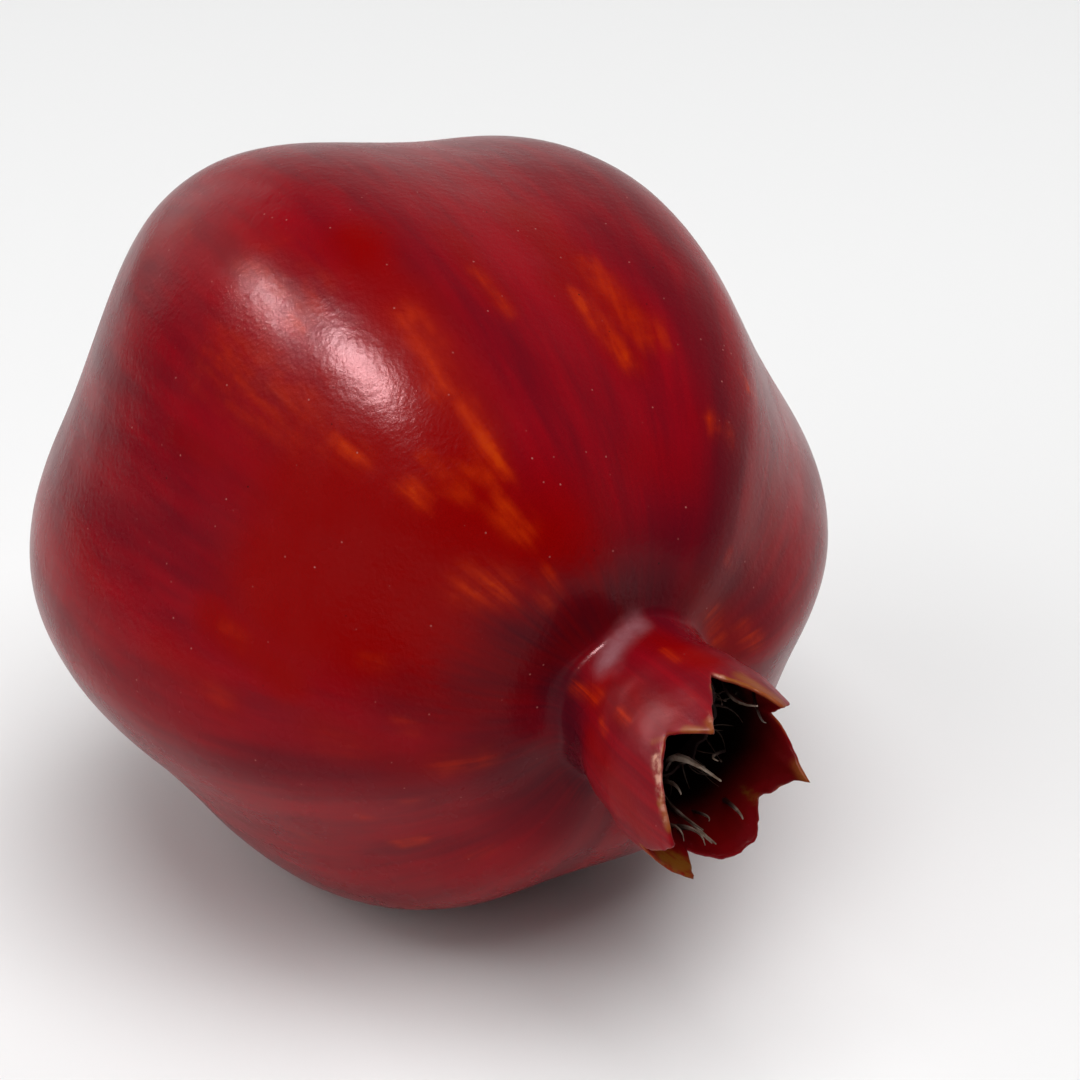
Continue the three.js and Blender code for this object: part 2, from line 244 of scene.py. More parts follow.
SHOWN_STRANDS = [
    ((670, 782), (681, 794), (0.0515, 0.0535), 0.00030, 0.7),
    ((714, 755), (718, 761), (0.0540, 0.0545), 0.00020, 0.7),
    ((732, 696), (757, 706), (0.0530, 0.0570), 0.00040, 0.8),
    ((758, 712), (766, 723), (0.0570, 0.0582), 0.00018, 0.3),
    ((735, 808), (743, 819), (0.0575, 0.0590), 0.00024, 0.45),
    ((677, 811), (716, 844), (0.0540, 0.0598), 0.00026, 0.5),
    ((687, 827), (712, 843), (0.0575, 0.0600), 0.00024, 0.45),
    ((673, 825), (684, 841), (0.0570, 0.0590), 0.00020, 0.4),
    ((680, 814), (703, 830), (0.0545, 0.0585), 0.00024, 0.45),
    ((705, 815), (709, 821), (0.0565, 0.0575), 0.00018, 0.45),
    ((694, 830), (705, 845), (0.0580, 0.0600), 0.00020, 0.4),
]
WALL_GAP = 0.0003
CUP_HEIGHTS = (0.046, 0.0482, 0.052, 0.057, 0.062)
CUP_RADII = (0.0068, 0.0070, 0.0081, 0.0091, 0.0091)
FILAMENT_PALE = (0.620, 0.500, 0.400)
FILAMENT_DARK = (0.240, 0.160, 0.110)
# Painted shade of the cup, that the filaments' feet and the ring of tissue fade into.
FILAMENT_SHADE = (0.022, 0.004, 0.003)
FIBRE_DEPTH = 0.00005

# Stalk stub, from its foot in the socket to its cut end: lengths and radii in metres. Ribs have their number
# round the stub, their share of the radius and a turn in radians.
STUB_FOOT = -0.0384
STUB_PROFILE = [
    (0.0, 0.0030), (0.0020, 0.0030), (0.0034, 0.0025),
    (0.0052, 0.0023), (0.0068, 0.0026), (0.0080, 0.0027),
]
STUB_SIDES = 40
STUB_RIBS = [(7, 0.045, 0.0), (16, 0.025, 1.0)]
BARK_LUMPS = [(0.0014, 0.05, 0)]
CUT_END_TEARS = [(0.0011, 0.0007, 3)]
BARK_BEGINS = (0.0020, 0.0036)
BARK_EDGE = (0.0012, 0.0022)
CUT_END_BEGINS = (0.0070, 0.0078)
BARK_THICKNESS = 0.0009
PITH_SLOPE = 0.0008
PITH_DEPTH = 0.0005
BARK_PALE = (0.230, 0.140, 0.075)
BARK_DARK = (0.050, 0.028, 0.015)
GRAIN_STRETCH = (1.0, 0.12, 1.0)
GRAIN_DEPTH = 0.0002

# Patterns on the rind: how often they repeat round the fruit and along its meridians.
BROAD_STREAKS = (5.0, 5.0, 1.3)
FINE_STREAKS = (24.0, 24.0, 4.0)
BRUSH_HAIRS = (24.0, 24.0, 6.0)

# Dry rim of the sepals: how far patches and spells of noise bring it from the edge, in millimetres, where it
# begins and is full, and how much fresher the edge's inner side has stayed.
RAGGED_BY_PATCHES = 2.0
RAGGED_BY_SPELLS = 2.6
DRY_RIM = (2.5, 1.9)
LIP_FRESHNESS = 0.9

# Specks: cells per metre, a dot's size as a share of its cell, the share of cells with a dot, and colour.
SPECKS = [(650.0, 0.095, 0.46, SPECK_PALE), (480.0, 0.07, 0.38, SPECK_DARK)]
SPECK_CORE = 0.2

# The rind's gloss: how strong it is, its tint, how rough the body and the crown are, and its fine relief.
GLOSS = 0.09
GLOSS_TINT = (1.0, 0.74, 0.77)
BODY_ROUGHNESS = (0.23, 0.29)
CROWN_ROUGHNESS = (0.42, 0.42, 0.42)
DENT_DEPTH = 0.00014
PORE_DEPTH = 0.00004

# Light: where each window's reflection lies in the picture, its distance and size in metres, and its watts.
# A soft light has its direction from the fruit as shares of the view's right, up and back.
WINDOWS = {
    "window": {"pixel": (356, 367), "distance": 0.9, "size": (0.36, 0.27), "power": 34.5},
    "small_window": {"pixel": (270, 304), "distance": 0.9, "size": (0.26, 0.07), "power": 8.6},
    "pale_wall": {"pixel": (205, 220), "distance": 0.9, "size": (0.6, 0.6), "power": 0.9},
}
SOFT_LIGHTS = {
    "overhead": {"way": (0.12, 0.78, 0.62), "distance": 2.25, "size": 2.0, "power": 59.0},
    "left_fill": {"way": (-0.80, 0.10, 0.59), "distance": 2.5, "size": 2.5, "power": 31.0},
}
FLOOR_SIZE = 6
FLOOR_COLOUR = (0.80, 0.80, 0.80)
FLOOR_ROUGHNESS = 0.9
ROOM_BRIGHT = 0.80
ROOM_DARK = 0.02
ROOM_SEEN = 0.88
ROOM_FADE = (-0.95, 0.2)
ROOM_DARK_LEAN = 0.60


# Fruit's own coordinates

def cad_points(name):
    """A CAD node's corners as an array."""
    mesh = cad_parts[name].data
    points = np.empty(len(mesh.vertices) * 3)
    mesh.vertices.foreach_get("co", points)
    return points.reshape(-1, 3)


def fruit_axes():
    """The fruit's middle, and its three axes as rows: sideways, towards the stalk, and up."""
    turn = math.radians(DOWN_AZIMUTH)
    droop = math.radians(DROOP)
    side = Vector((-math.sin(turn), math.cos(turn), 0))
    down = Vector((math.cos(turn) * math.cos(droop), math.sin(turn) * math.cos(droop), math.sin(droop)))
    rows = np.array([side, side.cross(down), -down])
    axis = rows[:, 2]
    stub = cad_points("stalk_stub")
    on_axis = stub.mean(0)
    middle_height = (stub @ axis).min() + STALK_REACH
    return on_axis + axis * (middle_height - on_axis @ axis), rows


MIDDLE, AXES = fruit_axes()


def to_fruit(points):
    """Azimuth in radians, height along the axis and distance from it, for points of the frame."""
    own = (np.asarray(points) - MIDDLE) @ AXES
    return np.arctan2(own[:, 1], own[:, 0]), own[:, 2], np.hypot(own[:, 0], own[:, 1])


def from_fruit(azimuth, height, radius):
    """The frame's point at an azimuth in radians, a height along the axis and a distance from it."""
    azimuth, height, radius = np.broadcast_arrays(azimuth, height, radius)
    own = np.stack([radius * np.cos(azimuth), radius * np.sin(azimuth), height], -1)
    return own @ AXES.T + MIDDLE


# Camera

def view_axes():
    """The camera's right, up and back directions."""
    turn = math.radians(VIEW_AZIMUTH)
    rise = math.radians(VIEW_ELEVATION)
    back = Vector((math.sin(turn) * math.cos(rise), -math.cos(turn) * math.cos(rise), math.sin(rise)))
    level = Vector((math.cos(turn), math.sin(turn), 0))
    right = Matrix.Rotation(math.radians(VIEW_ROLL), 3, back) @ level
    return right, back.cross(right), back


VIEW_RIGHT, VIEW_UP, VIEW_BACK = view_axes()
VIEW_SHIFT = VIEW_RIGHT * VIEW_OFFSET[0] + VIEW_UP * VIEW_OFFSET[1]
VIEW_POINT = Vector(MIDDLE) + VIEW_SHIFT + VIEW_BACK * VIEW_DISTANCE


def add_camera():
    camera = bpy.data.objects.new("camera", bpy.data.cameras.new("camera"))
    bpy.context.scene.collection.objects.link(camera)
    camera.data.lens = LENS
    camera.data.sensor_width = SENSOR
    turned = Matrix((VIEW_RIGHT, VIEW_UP, VIEW_BACK)).transposed().to_4x4()
    camera.matrix_world = Matrix.Translation(VIEW_POINT) @ turned
    bpy.context.scene.camera = camera


def picture_ray(pixel):
    """The direction from the camera through a pixel of the picture."""
    focal = LENS / SENSOR * PICTURE_SIZE
    across = (pixel[0] - PICTURE_SIZE / 2) / focal
    upward = (PICTURE_SIZE / 2 - pixel[1]) / focal
    return (VIEW_RIGHT * across + VIEW_UP * upward - VIEW_BACK).normalized()


def seen_at(piece, pixel):
    """The point and normal of a piece that a pixel of the picture shows."""
    found, point, normal, _ = piece.ray_cast(VIEW_POINT, picture_ray(pixel))
    return (point, normal) if found else (None, None)


# Mesh helpers

def pick_only(piece):
    bpy.ops.object.select_all(action="DESELECT")
    piece.select_set(True)
    bpy.context.view_layer.objects.active = piece


def mesh_points(piece):
    points = np.empty(len(piece.data.vertices) * 3)
    piece.data.vertices.foreach_get("co", points)
    return points.reshape(-1, 3)


def mesh_normals(piece):
    normals = np.empty(len(piece.data.vertices) * 3)
    piece.data.vertices.foreach_get("normal", normals)
    return normals.reshape(-1, 3)


def set_points(piece, points):
    piece.data.vertices.foreach_set("co", np.ascontiguousarray(points).ravel())
    piece.data.update()
    bpy.context.view_layer.update()


def set_attribute(piece, name, values):
    """Keeps one number for each of a piece's vertices, under a name that its material can read."""
    layer = piece.data.attributes.get(name) or piece.data.attributes.new(name, "FLOAT", "POINT")
    layer.data.foreach_set("value", np.asarray(values, dtype=np.float32))


def get_attribute(piece, name):
    values = np.empty(len(piece.data.vertices), dtype=np.float32)
    piece.data.attributes[name].data.foreach_get("value", values)
    return values


def smooth_step(values, low, high):
    share = np.clip((values - low) / (high - low), 0, 1)
    return share * share * (3 - 2 * share)


def noise_at(points, size):
    """Smooth noise from -1 to 1 whose lumps are about the given size."""
    return np.array([noise.noise(Vector(point) / size) for point in points])


def layered_noise(points, layers):
    """The sum of layers of noise, each with its lumps' size, its height and its shift."""
    return sum(noise_at(points + shift, size) * height for size, height, shift in layers)


def apply_modifier(piece, kind, **settings):
    pick_only(piece)
    bpy.ops.object.modifier_add(type=kind)
    modifier = piece.modifiers[-1]
    for name, value in settings.items():
        setattr(modifier, name, value)
    bpy.ops.object.modifier_apply(modifier=modifier.name)


# Fruit

def copy_of_node(node_name, piece_name):
    """A merged copy of a CAD node with its faces joined into quads."""
    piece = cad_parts[node_name].copy()
    piece.data = piece.data.copy()
    piece.name = piece_name
    piece.parent = None
    piece.data.materials.clear()
    for key in list(piece.keys()):
        del piece[key]
    bpy.context.scene.collection.objects.link(piece)
    pick_only(piece)
    bpy.ops.object.mode_set(mode="EDIT")
    bpy.ops.mesh.select_all(action="SELECT")
    bpy.ops.mesh.customdata_custom_splitnormals_clear()
    bpy.ops.mesh.remove_doubles(threshold=MERGE_DISTANCE)
    bpy.ops.mesh.tris_convert_to_quads(face_threshold=math.pi, shape_threshold=math.pi)
    bpy.ops.object.mode_set(mode="OBJECT")
    return piece


def shape_crown(piece):
    """Finds the sepals' edges and the inner wall on the plain mesh, and thins the wall towards the edges."""
    azimuth, height, radius = to_fruit(mesh_points(piece))
    normals = mesh_normals(piece) @ AXES
    outward = normals[:, 0] * np.cos(azimuth) + normals[:, 1] * np.sin(azimuth)
    in_crown = (height > CROWN_START) & (radius < CROWN_RADIUS)
    columns = np.round(np.degrees(azimuth) * COLUMNS_PER_DEGREE).astype(int)
    rim = np.zeros(len(height))
    outer_rim = np.zeros(len(height))
    thinner = np.zeros(len(height))
    for column in np.unique(columns[in_crown]):
        members = np.where(in_crown & (np.abs(columns - column) <= 1) & (radius > WALL_LEAST_RADIUS))[0]
        top = height[members].max()
        edge = members[height[members] > top - EDGE_DEPTH]
        middle = radius[edge].mean()
        rim[edge] = 1
        outer_rim[edge[radius[edge] > middle]] = 1
        surplus = max(0, np.ptp(radius[edge]) - RIM_THICKNESS)
        inward = (rim[members] == 1) | (outward[members] < OUTWARD_SHARE)
        inner = members[(outer_rim[members] == 0) & inward]
        thinner[inner] = surplus * np.exp(-(((top - height[inner]) / THINNED_DEPTH) ** 2))
    cup_wall = in_crown & (rim == 0) & (outward < OUTWARD_SHARE)
    cup_floor = (height > CUP_BOTTOM) & (radius < CUP_RADII[0])
    set_points(piece, from_fruit(azimuth, height, radius + thinner))
    set_attribute(piece, "rim", outer_rim)
    set_attribute(piece, "lip", rim * (1 - outer_rim))
    set_attribute(piece, "inside", (cup_wall | cup_floor).astype(float))
    return rim


def crease_sepals(piece, rim):
    """Keeps the sepals' tips and notches pointed and their edge lines crisp when the mesh is made finer."""
    _, height, _ = to_fruit(mesh_points(piece))
    corners = np.zeros(len(rim), dtype=np.float32)
    edges = np.zeros(len(piece.data.edges), dtype=np.float32)
    neighbours = {i: [] for i in np.where(rim > 0)[0]}
    for edge in piece.data.edges:
        a, b = edge.vertices
        if rim[a] and rim[b]:
            neighbours[a].append(b)
            neighbours[b].append(a)
            edges[edge.index] = EDGE_CREASE
    for vertex, others in neighbours.items():
        rises = [height[other] - height[vertex] for other in others]
        rises = [rise for rise in rises if abs(rise) > LEVEL_RISE]
        if len(rises) >= 2 and min(rises) > 0:
            corners[vertex] = NOTCH_CREASE
        elif len(rises) >= 2 and max(rises) < 0:
            corners[vertex] = TIP_CREASE
    piece.data.attributes.new("crease_edge", "FLOAT", "EDGE").data.foreach_set("value", edges)
    piece.data.attributes.new("crease_vert", "FLOAT", "POINT").data.foreach_set("value", corners)


def edge_distance(piece):
    """Each vertex's distance in metres to the nearest sepal edge."""
    points = mesh_points(piece)
    edge_points = points[get_attribute(piece, "rim") > FULL_RIM]
    tree = kdtree.KDTree(len(edge_points))
    for i, point in enumerate(edge_points):
        tree.insert(point, i)
    tree.balance()
    _, height, radius = to_fruit(points)
    near = (height > CROWN_START - CROWN_MARGIN) & (radius < CROWN_RADIUS + CROWN_MARGIN)
    distance = np.full(len(points), 1.0)
    distance[near] = [tree.find(point)[2] for point in points[near]]
    return distance


def roughen_fruit(piece):
    """Gives the even rind slow lumps, and the sepals' edges small tears and dry waves."""
    points = mesh_points(piece)
    normals = mesh_normals(piece)
    away = edge_distance(piece)
    _, height, radius = to_fruit(points)
    in_crown = smooth_step(height, *WAVES_BEGIN) * (radius < CROWN_RADIUS)
    off_floor = np.clip(points[:, 2] / FLAT_SPOT_FADE, 0, 1)
    lumps = layered_noise(points, BODY_LUMPS) * (1 - in_crown) * off_floor
    points = points + normals * lumps[:, None]
    waves = layered_noise(points, CROWN_WAVES) * in_crown
    points = points + normals * waves[:, None]
    near_edge = np.exp(-((away / TEAR_REACH) ** 2)) * (height > CROWN_START)
    tears = layered_noise(points, EDGE_TEARS) * near_edge
    points = points + AXES[:, 2] * tears[:, None]
    set_points(piece, points)
    set_attribute(piece, "edge", away * 1000)


def stroke_field(points, strokes):
    """How strongly a set of brush marks covers each point: 1 in the middle of a full mark."""
    field = np.zeros(len(points))
    for start, end, width, strength in strokes:
        start = np.array(start)
        run = np.array(end) - start
        share = np.clip((points - start) @ run / max(run @ run, SHORTEST_RUN), 0, 1)
        gap = np.linalg.norm(points - start - share[:, None] * run, axis=1)
        field = np.maximum(field, strength * np.exp(-((gap / (width * BRUSH_SOFTNESS)) ** 2)))
    return field


def picture_strokes(piece, marks):
    """Marks given in the picture, as strokes on the piece, in short steps that follow its curve."""
    strokes = []
    for start, end, width, strength in marks:
        steps = max(1, round(math.dist(start, end) / STEP_PIXELS))
        pixels = [np.array(start) + (np.array(end) - start) * i / steps for i in range(steps + 1)]
        spots = [seen_at(piece, pixel)[0] for pixel in pixels]
        spots = [spot for spot in spots if spot]
        for a, b in zip(spots, spots[1:]):
            strokes.append((a, b, width / 1000, strength))
    return strokes


def hidden_strokes(piece, draw, plan):
    """Seeded marks along the meridians of the side that the picture doesn't show."""
    strokes = []
    while len(strokes) < plan["count"]:
        azimuth = draw.uniform(-math.pi, math.pi)
        angle = draw.uniform(*HIDDEN_ANGLES)
        length = draw.uniform(*plan["length"]) / 1000
        width = draw.uniform(*plan["width"]) / 1000
        strength = draw.uniform(*plan["strength"])
        ends = []
        for way in (-0.5, 0.5):
            tilt = angle + way * length / BODY_RADIUS
            height, radius = WELL_OUTSIDE * math.cos(tilt), WELL_OUTSIDE * math.sin(tilt)
            outside = Vector(from_fruit(azimuth, height, radius))
            found, point, normal, _ = piece.ray_cast(outside, (Vector(MIDDLE) - outside).normalized())
            ends.append((point, found and normal.dot(VIEW_POINT - point) < 0))
        if ends[0][1] and ends[1][1]:
            strokes.append((ends[0][0], ends[1][0], width, strength))
    return strokes


def paint_fruit(piece):
    """Keeps on the mesh where the skin turns orange, scarlet, dark or dry, where painted shade, highlights
    and sheen lie, and how its meridians run.
    """
    nothing = {"count": 0}
    points = mesh_points(piece)
    draw = random.Random(HIDDEN_MARK_SEED)
    layers = {
        "orange_marks": (ORANGE_MARKS, HIDDEN_ORANGE),
        "scarlet_marks": (SCARLET_MARKS, HIDDEN_SCARLET),
        "dark_and_shade_marks": (DARK_AND_SHADE_MARKS, HIDDEN_DARK_STREAKS),
        "olive_marks": (OLIVE_MARKS, nothing),
        "tan_marks": (TAN_MARKS, nothing),
        "cream_glint_marks": (CREAM_GLINT_MARKS, nothing),
        "sheen_marks": (SHEEN_MARKS, nothing),
    }
    for name, (marks, hidden) in layers.items():
        strokes = picture_strokes(piece, marks) + hidden_strokes(piece, draw, hidden)
        set_attribute(piece, name, stroke_field(points, strokes))
    azimuth, height, radius = to_fruit(points)
    meridian = np.stack([np.cos(azimuth), np.sin(azimuth), np.arctan2(radius, height)], -1)
    layer = piece.data.attributes.new("meridian", "FLOAT_VECTOR", "POINT")
    layer.data.foreach_set("vector", meridian.astype(np.float32).ravel())
    inside = get_attribute(piece, "inside")
    # Painted shade: the cup's wall darkens deeper down.
    set_attribute(piece, "cup_shade", smooth_step(CUP_SHADE_TOP - height, 0.0, CUP_SHADE_DEPTH) * inside)
    set_attribute(piece, "crown", smooth_step(height, *DULL_SKIN) * (radius < CROWN_RADIUS))
    set_attribute(piece, "stalk_scar", smooth_step(SCAR_RADIUS - radius, 0.0, SCAR_FADE) * (height < 0))


# Stamens

def model_filament():
    """A straight square filament of unit length along Z, cut into steps, as the pattern for all of them."""
    bpy.ops.object.select_all(action="DESELECT")
    bpy.ops.mesh.primitive_cylinder_add(vertices=FILAMENT_SIDES, radius=1, depth=1, location=(0, 0, 0.5))
    bpy.ops.object.transform_apply(location=True)
    filament = bpy.context.object
    bpy.ops.object.mode_set(mode="EDIT")
    bpy.ops.mesh.select_all(action="DESELECT")
    bpy.ops.object.mode_set(mode="OBJECT")
    for edge in filament.data.edges:
        low, high = [filament.data.vertices[i].co.z for i in edge.vertices]
        edge.select = abs(high - low) > LONG_EDGE
    bpy.ops.object.mode_set(mode="EDIT")
    bpy.ops.mesh.select_mode(type="EDGE")
    bpy.ops.mesh.subdivide(number_cuts=FILAMENT_CUTS)
    bpy.ops.object.mode_set(mode="OBJECT")
    return filament


def model_anther():
    """A small long pod round the origin, as the pattern for all of them."""
    bpy.ops.object.select_all(action="DESELECT")
    bpy.ops.mesh.primitive_ico_sphere_add(subdivisions=1, radius=1)
    bpy.ops.transform.resize(value=ANTHER_SHAPE)
    bpy.ops.object.transform_apply(scale=True)
    return bpy.context.object


def copy_to(pattern, points, paleness):
    """A copy of a pattern whose corners are at new points, with the paleness of each."""
    piece = pattern.copy()
    piece.data = pattern.data.copy()
    bpy.context.scene.collection.objects.link(piece)
    piece.data.vertices.foreach_set("co", np.ascontiguousarray(points).ravel())
    set_attribute(piece, "paleness", np.full(len(points), 1.0) * paleness)
    return piece


def bend_filament(pattern, route, half_thickness, paleness, swell=0.0):
    """A copy of the straight filament along a route, thinner towards its tip, maybe swollen half way, its
    foot darkened by painted shade.
    """
    own = mesh_points(pattern)
    stops = np.linspace(0, 1, len(route))
    centre = np.stack([np.interp(own[:, 2], stops, route[:, i]) for i in range(3)], -1)
    way = np.array(route[-1] - route[0])
    way /= np.linalg.norm(way)
    side = np.cross(way, AXES[:, 0])
    side /= np.linalg.norm(side)
    across = own[:, :1] * side + own[:, 1:2] * np.cross(way, side)
    bulge = swell * np.sin(own[:, 2:] * math.pi) ** 2
    width = half_thickness * (FILAMENT_FOOT_WIDTH - FILAMENT_TAPER * own[:, 2:] + bulge)
    # Painted shade: the filament's foot darkens deep in the cup.
    out_of_shade = smooth_step(own[:, 2], STRAND_FOOT_SHARE - PALE_FADE, STRAND_FOOT_SHARE + PALE_FADE)
    return copy_to(pattern, centre + across * width, paleness * out_of_shade)


def place_anther(pattern, route, half_thickness):
    """A copy of the pod on a filament's tip, in line with it."""
    way = Vector(route[-1] - route[-2]).normalized()
    turn = np.array(way.to_track_quat("Z", "Y").to_matrix())
    size = half_thickness * ANTHER_SIZE
    return copy_to(pattern, mesh_points(pattern) @ turn.T * size + route[-1], STAMEN_PALENESS)


def filament_route(draw, root_azimuth, tip_azimuth, tip_height, tip_radius):
    """A gently curled way from the ring of tissue to the filament's tip."""
    share = np.linspace(0, 1, ROUTE_POINTS)
    arch = np.sin(share * math.pi)
    bow = draw.uniform(-FILAMENT_BOW, FILAMENT_BOW)
    curl = math.radians(draw.uniform(-FILAMENT_CURL, FILAMENT_CURL))
    azimuth = np.radians(root_azimuth + (tip_azimuth - root_azimuth) * share) + curl * arch
    root_shift = draw.uniform(-FILAMENT_ROOT_SPREAD, FILAMENT_ROOT_SPREAD)
    root_height = RING["height"] + root_shift * RING["depth"]
    height = root_height + (tip_height - root_height) * share
    radius = RING["radius"] + (tip_radius - RING["radius"]) * share + bow * arch
    return inside_cup(from_fruit(azimuth, height, radius))


def cup_radius(height):
    return np.interp(height, CUP_HEIGHTS, CUP_RADII)


def inside_cup(points):
    """Points of the frame, moved towards the fruit's axis where they are in the cup's wall."""
    azimuth, height, radius = to_fruit(points)
    return from_fruit(azimuth, height, np.minimum(radius, cup_radius(height) - WALL_GAP))


def shown_at(pixel, height):
    """The point that a pixel shows at a height along the fruit's axis."""
    start = (np.array(VIEW_POINT) - MIDDLE) @ AXES
    way = np.array(picture_ray(pixel)) @ AXES
    own = start + way * (height - start[2]) / way[2]
    return own @ AXES.T + MIDDLE


def strand_route(low_pixel, tip_pixel, heights):
    """A curve from the cup's wall through a strand's lower end to its tip, as the picture shows them."""
    low, tip = inside_cup([shown_at(low_pixel, heights[0]), shown_at(tip_pixel, heights[1])])
    azimuth, _, _ = to_fruit([low])
    foot_height = max(RING["height"], heights[0] - STRAND_ROOT_DEPTH)
    foot = from_fruit(azimuth[0], foot_height, cup_radius(foot_height) + EMBEDDED)
    share = np.linspace(0, 1, ROUTE_POINTS)[:, None]
    turn = STRAND_FOOT_SHARE
    curve = foot * (share - turn) * (share - 1) / turn
    curve += low * share * (share - 1) / (turn * (turn - 1))
    curve += tip * share * (share - turn) / (1 - turn)
    return np.concatenate([curve[:1], inside_cup(curve[1:])])


def random_filament(draw):
    """The route and the half thickness of one of the filaments that the picture doesn't single out."""
    root = draw.uniform(0, 360)
    tip_height = draw.triangular(*STAMEN_TIPS)
    tip_radius = cup_radius(tip_height) - draw.triangular(*STAMEN_LEANS)
    tip = root + draw.gauss(0, FILAMENT_TURN)
    route = filament_route(draw, root, tip, tip_height, tip_radius)
    return route, draw.uniform(*FILAMENT_HALF_THICKNESS)


def model_tissue_ring():
    """The torn ring of dried tissue that the stamens grow from."""
    bpy.ops.object.select_all(action="DESELECT")
    bpy.ops.mesh.primitive_cylinder_add(
        vertices=RING_SIDES,
        radius=RING["radius"],
        depth=RING["depth"],
        end_fill_type="NOTHING",
        location=(0, 0, RING["height"]),
    )
    bpy.ops.object.transform_apply(location=True)
    ring = bpy.context.object
    bpy.ops.object.mode_set(mode="EDIT")
    bpy.ops.mesh.select_all(action="SELECT")
    bpy.ops.mesh.subdivide(number_cuts=RING_CUTS)
    bpy.ops.object.mode_set(mode="OBJECT")
    points = mesh_points(ring)
    upper = smooth_step(points[:, 2], RING["height"], RING["height"] + RING["depth"] / 2)
    points[:, 2] += layered_noise(points, RING_TEARS) * upper
    points[:, :2] *= 1 + layered_noise(points, RING_WOBBLE)[:, None]
    set_points(ring, points)
    apply_modifier(ring, "SOLIDIFY", thickness=RING["thickness"], offset=0)
    set_points(ring, mesh_points(ring) @ AXES.T + MIDDLE)
    # The ring lies wholly in the cup's painted shade.
    set_attribute(ring, "paleness", np.zeros(len(ring.data.vertices)))
    return ring


def join_pieces(pieces, name):
    bpy.ops.object.select_all(action="DESELECT")
    for piece in pieces:
        piece.select_set(True)
    bpy.context.view_layer.objects.active = pieces[0]
    bpy.ops.object.join()
    joined = bpy.context.object
    joined.name = name
    return joined


def build_stamens():
    draw = random.Random(STAMEN_SEED)
    filament = model_filament()
    anther = model_anther()
    *style_ends, half_thickness, paleness = STYLE
    style_route = strand_route(*style_ends)
    pieces = [
        model_tissue_ring(),
        bend_filament(filament, style_route, half_thickness, paleness, STYLE_SWELL),
    ]
    for *ends, half_thickness, paleness in SHOWN_STRANDS:
        pieces.append(bend_filament(filament, strand_route(*ends), half_thickness, paleness))
    for _ in range(STAMENS):
        route, half_thickness = random_filament(draw)
        pieces.append(bend_filament(filament, route, half_thickness, STAMEN_PALENESS))
        if draw.random() < ANTHER_SHARE:
            pieces.append(place_anther(anther, route, half_thickness))
    for pattern in (filament, anther):
        bpy.data.objects.remove(pattern)
    stamens = join_pieces(pieces, "dried_stamens")
    bpy.ops.object.shade_smooth_by_angle(angle=math.radians(SMOOTH_ANGLE))
    dress(stamens, stamen_material(), "stamens")
    return stamens


# Stalk stub

def build_stub():
    """A ribbed woody stem that thins from its foot and widens to its cut end, where its pith is sunken."""
    bpy.ops.object.select_all(action="DESELECT")
    foot_radius = STUB_PROFILE[0][1]
    bpy.ops.mesh.primitive_circle_add(vertices=STUB_SIDES, radius=foot_radius, fill_type="NGON")
    stub = bpy.context.object
    stub.name = "woody_stub"
    bpy.ops.object.mode_set(mode="EDIT")
    bpy.ops.mesh.select_all(action="SELECT")
    for (low, radius), (high, next_radius) in zip(STUB_PROFILE, STUB_PROFILE[1:]):
        bpy.ops.mesh.extrude_region_move(TRANSFORM_OT_translate={"value": (0, 0, low - high)})
        bpy.ops.transform.resize(value=(next_radius / radius, next_radius / radius, 1))
    bpy.ops.mesh.inset(thickness=BARK_THICKNESS)
    bpy.ops.mesh.extrude_region_move(TRANSFORM_OT_translate={"value": (0, 0, PITH_DEPTH)})
    bpy.ops.mesh.inset(thickness=PITH_SLOPE)
    bpy.ops.mesh.select_all(action="SELECT")
    bpy.ops.mesh.normals_make_consistent(inside=False)
    bpy.ops.object.mode_set(mode="OBJECT")
    apply_modifier(stub, "SUBSURF", levels=2, render_levels=2)
    points = mesh_points(stub)
    azimuth = np.arctan2(points[:, 1], points[:, 0])
    radius = np.hypot(points[:, 0], points[:, 1])
    free = smooth_step(-points[:, 2], *BARK_BEGINS) * smooth_step(radius, *BARK_EDGE)
    ribs = sum(share * np.sin(azimuth * number + turn) for number, share, turn in STUB_RIBS)
    points[:, :2] *= 1 + ((ribs + layered_noise(points, BARK_LUMPS)) * free)[:, None]
    torn = layered_noise(points, CUT_END_TEARS) * smooth_step(-points[:, 2], *CUT_END_BEGINS)
    points[:, 2] += np.abs(torn)
    points[:, 2] += STUB_FOOT
    set_points(stub, points @ AXES.T + MIDDLE)
    pick_only(stub)
    bpy.ops.object.shade_smooth()
    dress(stub, stub_material(), "stalk_stub")
    return stub


# Materials

